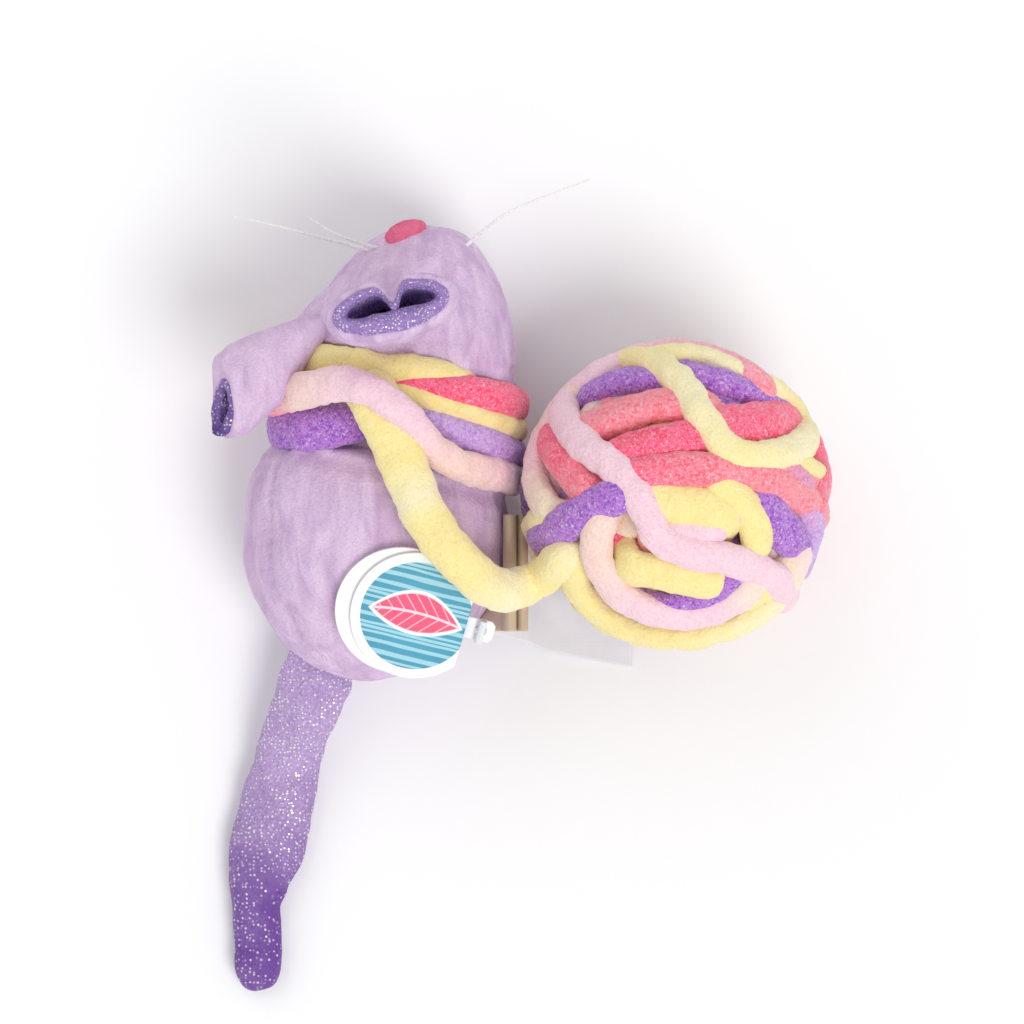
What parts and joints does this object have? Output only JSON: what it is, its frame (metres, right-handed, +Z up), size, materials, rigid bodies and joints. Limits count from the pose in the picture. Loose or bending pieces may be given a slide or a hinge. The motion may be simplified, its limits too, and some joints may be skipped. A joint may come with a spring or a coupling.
{
  "type": "catnip mouse",
  "caption": "Stuffed plush mouse with glitter ears and tail, wrapped at the neck with thick yarn that runs to a yarn ball.",
  "frame": {"origin": "on the flat of the belly, where the mouse rests on the ground", "axes": "+Y along the mouse towards its nose, +X towards its right side and the yarn ball, +Z up"},
  "size_m": [0.1188, 0.1547, 0.0598],
  "materials": {
    "plush": "short velour pile",
    "glitter_cloth": "sparkling",
    "fibre_filling": "loose fibre",
    "herb_cloth": "matt woven",
    "nose_plush": "matt",
    "thread": "satin",
    "chenille_yarn": "nubbly",
    "ball_yarn": "nubbly",
    "tag_card": "coated",
    "pin_plastic": "clear white",
    "satin_tape": "satin"
  },
  "bodies": {
    "mouse": {"body_cover": "plush", "head_cover": "plush", "body_filling": "fibre_filling", "head_filling": "fibre_filling", "catnip_pouch": "herb_cloth", "nose": "nose_plush", "free_strand": "chenille_yarn", "neck_wrap": "chenille_yarn", "tag_pin": "pin_plastic", "label_leaf_upper": "satin_tape", "label_leaf_lower": "satin_tape", "label_page": "satin_tape", "whisker_left_long": "thread", "whisker_left_short": "thread", "whisker_right": "thread"},
    "left_ear": {"left_ear_plush": "plush", "left_ear_lining": "glitter_cloth"},
    "right_ear": {"right_ear_plush": "plush", "right_ear_lining": "glitter_cloth"},
    "tail": {"tail_cover": "glitter_cloth", "tail_filling": "fibre_filling"},
    "tag": {"tag_back": "tag_card"},
    "tag_leaf": {"tag_front": "tag_card"},
    "yarn_ball": {"ball_winding": "ball_yarn", "ball_core": "ball_yarn"}
  },
  "joints": [
    {"name": "left_ear_flap", "type": "hinge", "parent": "mouse", "child": "left_ear", "pos_m": [-0.01377, 0.04331, 0.03118], "axis": [-0.7121, 0.7021, 0], "range_deg": [0, 35]},
    {"name": "right_ear_flap", "type": "hinge", "parent": "mouse", "child": "right_ear", "pos_m": [0.00133, 0.04179, 0.03783], "axis": [1, 0, 0], "range_deg": [-15, 15]},
    {"name": "tail_swing", "type": "hinge", "parent": "mouse", "child": "tail", "pos_m": [-0.01357, -0.02622, 0.01265], "axis": [0, 0, 1], "range_deg": [-25, 25]},
    {"name": "tag_swing", "type": "hinge", "parent": "mouse", "child": "tag", "pos_m": [0.01799, -0.01582, 0.03438], "axis": [0.0498, -0.2888, 0.9561], "range_deg": [-8, 8]},
    {"name": "tag_open", "type": "hinge", "parent": "tag", "child": "tag_leaf", "pos_m": [0.01551, -0.01533, 0.03516], "axis": [0.2657, 0.9266, 0.2661], "range_deg": [0, 14]},
    {"name": "ball_draw", "type": "slide", "parent": "mouse", "child": "yarn_ball", "axis": [1, 0, 0], "range_m": [0, 0.008]}
  ]
}
